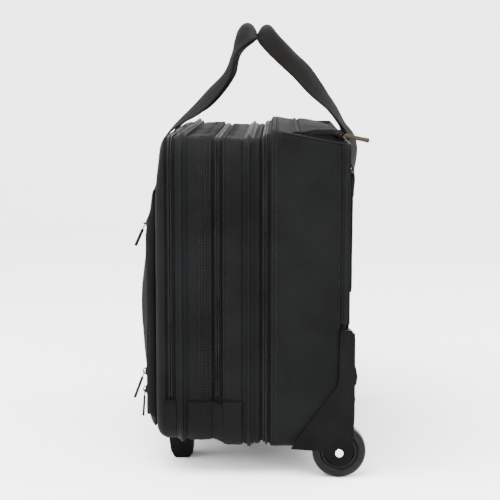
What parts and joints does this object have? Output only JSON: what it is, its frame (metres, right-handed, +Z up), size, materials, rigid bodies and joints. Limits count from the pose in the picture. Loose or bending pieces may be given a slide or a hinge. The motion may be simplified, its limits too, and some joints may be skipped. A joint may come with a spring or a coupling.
{
  "type": "rolling laptop case",
  "caption": "Upright soft laptop case with zipped sections, carrying straps, a stowed telescoping trolley handle and corner wheels.",
  "frame": {"origin": "on the floor under the middle of the closed case's bounding box", "axes": "+X across the width, +Y from the front pockets to the back with the wheels, +Z up"},
  "size_m": [0.4274, 0.2511, 0.4846],
  "materials": {
    "body_fabric": "tightly woven coated polyester, matt",
    "piping": "cord covered in fine woven tape",
    "webbing": "ribbed webbing with a satin sheen",
    "zip_tape": "woven tape with a nylon coil",
    "moulded_plastic": "finely textured moulded plastic",
    "grip_plastic": "satin moulded plastic",
    "tube_aluminium": "satin anodised",
    "axle_steel": "polished, domed head",
    "tyre_rubber": "hard rubber, slightly worn",
    "hub_plastic": "moulded",
    "bush_brass": "turned",
    "zip_metal": "dark plated zinc",
    "stiffener": "extruded sheet"
  },
  "bodies": {
    "rear_case": {"rear_gusset": "body_fabric", "back_panel": "body_fabric", "frame_board": "stiffener", "rear_piping": "piping", "back_pocket": "body_fabric", "kick_plate": "moulded_plastic", "skid_rails": "moulded_plastic", "wheel_guard_right": "moulded_plastic", "wheel_guard_left": "moulded_plastic", "axle_right": "axle_steel", "axle_left": "axle_steel", "trolley_outer_tubes": "tube_aluminium", "trolley_foot": "moulded_plastic", "trolley_top_guide": "moulded_plastic", "hatch_flap": "body_fabric", "hatch_zip": "zip_tape", "main_zip_rear_tape": "zip_tape"},
    "wheel_right": {"tyre_right": "tyre_rubber", "hub_right": "hub_plastic", "bush_right": "bush_brass"},
    "wheel_left": {"tyre_left": "tyre_rubber", "hub_left": "hub_plastic", "bush_left": "bush_brass"},
    "trolley_lower": {"trolley_middle_tubes": "tube_aluminium"},
    "trolley_upper": {"trolley_inner_tubes": "tube_aluminium", "trolley_grip": "grip_plastic"},
    "release_button": {"trolley_button": "grip_plastic"},
    "rear_strap": {"rear_handle": "webbing"},
    "middle_section": {"laptop_zip_rear_tape": "zip_tape", "mid_gusset": "body_fabric", "mid_piping": "piping", "laptop_back_pad": "body_fabric", "main_zip_front_tape": "zip_tape"},
    "front_section": {"organizer_zip_rear_tape": "zip_tape", "front_gusset": "body_fabric", "front_piping": "piping", "organizer_divider": "body_fabric", "laptop_zip_front_tape": "zip_tape", "front_feet": "moulded_plastic"},
    "organizer_lid": {"organizer_zip_front_tape": "zip_tape", "front_panel": "body_fabric", "front_pocket": "body_fabric", "quick_zip": "zip_tape", "pocket_zip": "zip_tape"},
    "front_strap": {"front_handle": "webbing"},
    "quick_zip_slider": {"quick_slider": "zip_metal"},
    "quick_zip_pull": {"quick_pull": "zip_metal"},
    "pocket_upper_zip_slider": {"pocket_upper_slider": "zip_metal"},
    "pocket_upper_zip_pull": {"pocket_upper_pull": "zip_metal"},
    "pocket_lower_zip_slider": {"pocket_lower_slider": "zip_metal"},
    "pocket_lower_zip_pull": {"pocket_lower_pull": "zip_metal"},
    "organizer_zip_slider": {"organizer_slider": "zip_metal"},
    "organizer_zip_pull": {"organizer_pull": "zip_metal"},
    "laptop_zip_slider": {"laptop_slider": "zip_metal"},
    "laptop_zip_pull": {"laptop_pull": "zip_metal"},
    "main_zip_slider": {"main_slider": "zip_metal"},
    "main_zip_pull": {"main_pull": "zip_metal"},
    "hatch_zip_slider": {"hatch_slider": "zip_metal"},
    "hatch_zip_pull": {"hatch_pull": "zip_metal"}
  },
  "joints": [
    {"name": "wheel_right_spin", "type": "hinge", "parent": "rear_case", "child": "wheel_right", "pos_m": [0.196, 0.096, 0.0286], "axis": [1, 0, 0], "continuous": true},
    {"name": "wheel_left_spin", "type": "hinge", "parent": "rear_case", "child": "wheel_left", "pos_m": [-0.196, 0.096, 0.0286], "axis": [1, 0, 0], "continuous": true},
    {"name": "trolley_lower_slide", "type": "slide", "parent": "rear_case", "child": "trolley_lower", "axis": [0, 0, 1], "range_m": [0, 0.262], "deforming": ["hatch_flap"]},
    {"name": "trolley_upper_slide", "type": "slide", "parent": "trolley_lower", "child": "trolley_upper", "axis": [0, 0, 1], "range_m": [0, 0.262]},
    {"name": "release_button_press", "type": "slide", "parent": "trolley_upper", "child": "release_button", "axis": [0, 0, -1], "range_m": [0, 0.003], "stiffness_N_per_m": 400},
    {"name": "rear_strap_swing", "type": "hinge", "parent": "rear_case", "child": "rear_strap", "pos_m": [0, 0.116, 0.326], "axis": [-1, 0, 0], "range_deg": [0, 120]},
    {"name": "front_strap_swing", "type": "hinge", "parent": "organizer_lid", "child": "front_strap", "pos_m": [0, -0.1015, 0.324], "axis": [1, 0, 0], "range_deg": [0, 120]},
    {"name": "main_open", "type": "hinge", "parent": "rear_case", "child": "middle_section", "pos_m": [0, 0.017, 0.029], "axis": [1, 0, 0], "range_deg": [0, 90]},
    {"name": "laptop_open", "type": "hinge", "parent": "middle_section", "child": "front_section", "pos_m": [0, -0.033, 0.034], "axis": [1, 0, 0], "range_deg": [0, 35]},
    {"name": "organizer_open", "type": "hinge", "parent": "front_section", "child": "organizer_lid", "pos_m": [0, -0.1095, 0.037], "axis": [1, 0, 0], "range_deg": [0, 75]},
    {"name": "quick_zip_slide", "type": "slide", "parent": "organizer_lid", "child": "quick_zip_slider", "axis": [-1, 0, 0], "range_m": [0, 0.285]},
    {"name": "quick_pull_swing", "type": "hinge", "parent": "quick_zip_slider", "child": "quick_zip_pull", "pos_m": [0.15, -0.11285, 0.266], "axis": [-1, 0, 0], "range_deg": [-6, 160]},
    {"name": "pocket_upper_zip_slide", "type": "slide", "parent": "organizer_lid", "child": "pocket_upper_zip_slider", "axis": [0, 0, 1], "range_m": [0, 0.14]},
    {"name": "pocket_upper_pull_swing", "type": "hinge", "parent": "pocket_upper_zip_slider", "child": "pocket_upper_zip_pull", "pos_m": [0.172, -0.11285, 0.108], "axis": [-1, 0, 0], "range_deg": [0, 140]},
    {"name": "pocket_lower_zip_slide", "type": "slide", "parent": "organizer_lid", "child": "pocket_lower_zip_slider", "axis": [0, 0, -1], "range_m": [0, 0.02]},
    {"name": "pocket_lower_pull_swing", "type": "hinge", "parent": "pocket_lower_zip_slider", "child": "pocket_lower_zip_pull", "pos_m": [0.172, -0.11285, 0.088], "axis": [-1, 0, 0], "range_deg": [0, 38]},
    {"name": "organizer_zip_slide", "type": "slide", "parent": "front_section", "child": "organizer_zip_slider", "axis": [0, 0, -1], "range_m": [0, 0.2]},
    {"name": "organizer_pull_swing", "type": "hinge", "parent": "organizer_zip_slider", "child": "organizer_zip_pull", "pos_m": [-0.2075, -0.0825, 0.312], "axis": [0, 1, 0], "range_deg": [0, 165]},
    {"name": "laptop_zip_slide", "type": "slide", "parent": "middle_section", "child": "laptop_zip_slider", "axis": [0, 0, -1], "range_m": [0, 0.2]},
    {"name": "laptop_pull_swing", "type": "hinge", "parent": "laptop_zip_slider", "child": "laptop_zip_pull", "pos_m": [-0.2075, -0.033, 0.312], "axis": [0, 1, 0], "range_deg": [0, 165]},
    {"name": "main_zip_slide", "type": "slide", "parent": "rear_case", "child": "main_zip_slider", "axis": [0, 0, -1], "range_m": [0, 0.2]},
    {"name": "main_pull_swing", "type": "hinge", "parent": "main_zip_slider", "child": "main_zip_pull", "pos_m": [-0.2075, 0.017, 0.312], "axis": [0, 1, 0], "range_deg": [0, 165]},
    {"name": "hatch_zip_slide", "type": "slide", "parent": "rear_case", "child": "hatch_zip_slider", "axis": [0, -0.9968, 0.0797], "range_m": [0, 0.0332]},
    {"name": "hatch_pull_swing", "type": "hinge", "parent": "hatch_zip_slider", "child": "hatch_zip_pull", "pos_m": [0.1955, 0.0922, 0.3647], "axis": [0, -0.2588, -0.9659], "range_deg": [0, 150]}
  ],
  "couplings": [
    {"joint": "trolley_upper_slide", "follows": "trolley_lower_slide", "ratio": 1}
  ]
}
